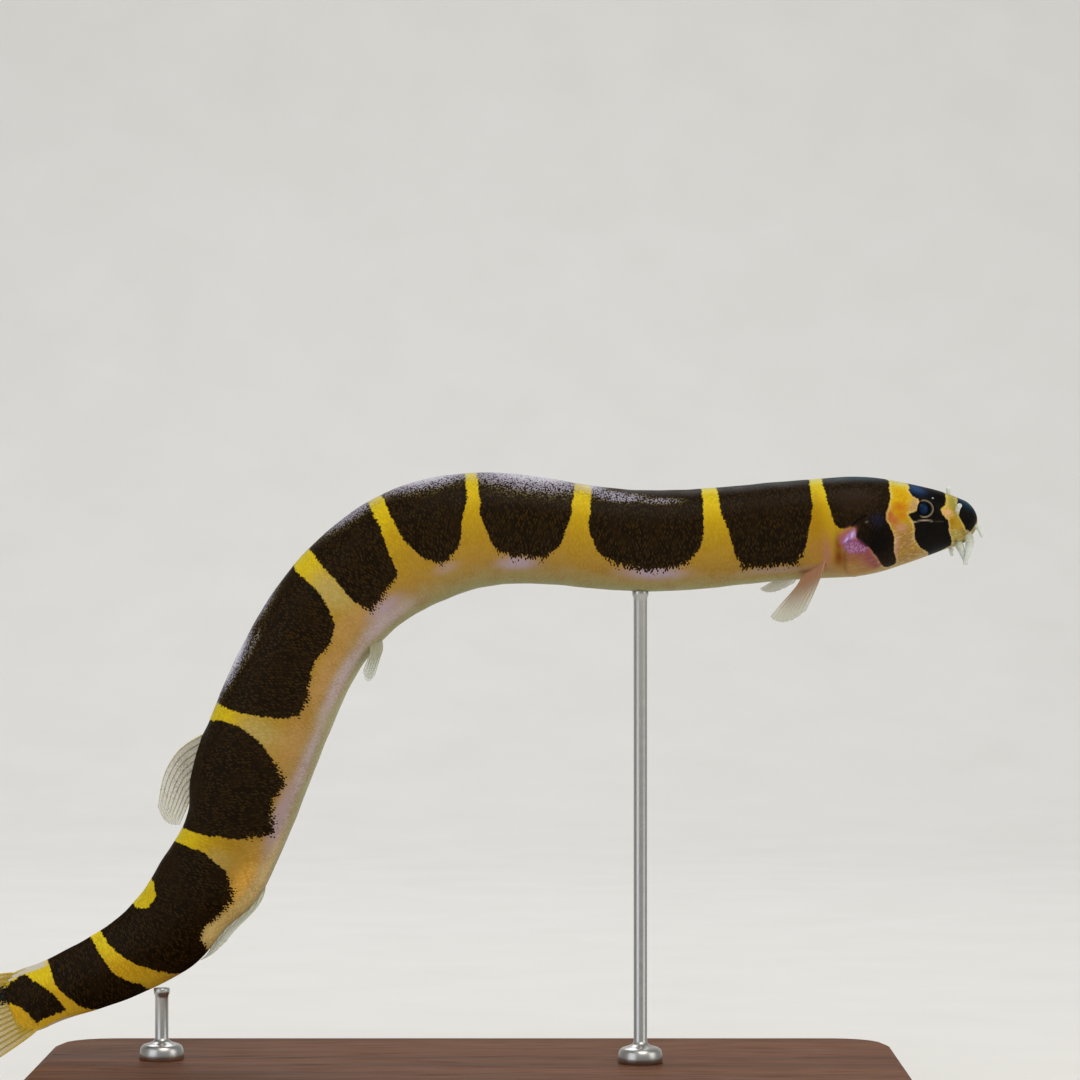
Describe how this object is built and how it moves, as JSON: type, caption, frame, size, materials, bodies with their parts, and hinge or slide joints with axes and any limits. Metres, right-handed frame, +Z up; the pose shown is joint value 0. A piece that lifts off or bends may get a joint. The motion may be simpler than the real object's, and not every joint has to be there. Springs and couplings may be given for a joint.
{
  "type": "kuhli loach",
  "caption": "Kuhli loach swimming in an arch, life size: long banded body, whiskered head and translucent fins, held by rods on a flat wooden base.",
  "frame": {"origin": "middle of the underside of the stand's base", "axes": "+X towards the end the fish's head points to, -Y the side its right flank faces, which is the side the picture shows, +Z up"},
  "size_m": [0.0729, 0.03, 0.0433],
  "materials": {
    "pale_skin": "wet fish skin, yellow to orange-tan, the ground colour between the saddles",
    "banded_skin": "wet fish skin, black-brown, the colour of the saddles",
    "fin_membrane": "thin translucent membrane over soft rays",
    "eye_lens": "dark wet eye",
    "walnut": "oiled, satin",
    "polished_steel": "polished stainless steel"
  },
  "bodies": {
    "root": {"head": "pale_skin", "body_shoulder": "pale_skin", "body_front": "banded_skin", "body_middle": "pale_skin", "body_bend": "banded_skin", "body_rear": "pale_skin", "tail_base": "banded_skin", "tail_peduncle": "pale_skin", "fin_dorsal": "fin_membrane", "fin_anal": "fin_membrane", "fin_caudal": "fin_membrane", "fin_pectoral_left": "fin_membrane", "fin_pectoral_right": "fin_membrane", "fin_pelvic_left": "fin_membrane", "fin_pelvic_right": "fin_membrane", "eye_left": "eye_lens", "eye_right": "eye_lens", "barbel_rostral_inner_left": "pale_skin", "barbel_rostral_inner_right": "pale_skin", "barbel_rostral_outer_left": "pale_skin", "barbel_rostral_outer_right": "pale_skin", "barbel_maxillary_left": "pale_skin", "barbel_maxillary_right": "pale_skin", "barbel_mental_left": "pale_skin", "barbel_mental_right": "pale_skin", "stand_base": "walnut", "stand_rod_front": "polished_steel", "stand_rod_rear": "polished_steel"}
  },
  "joints": []
}
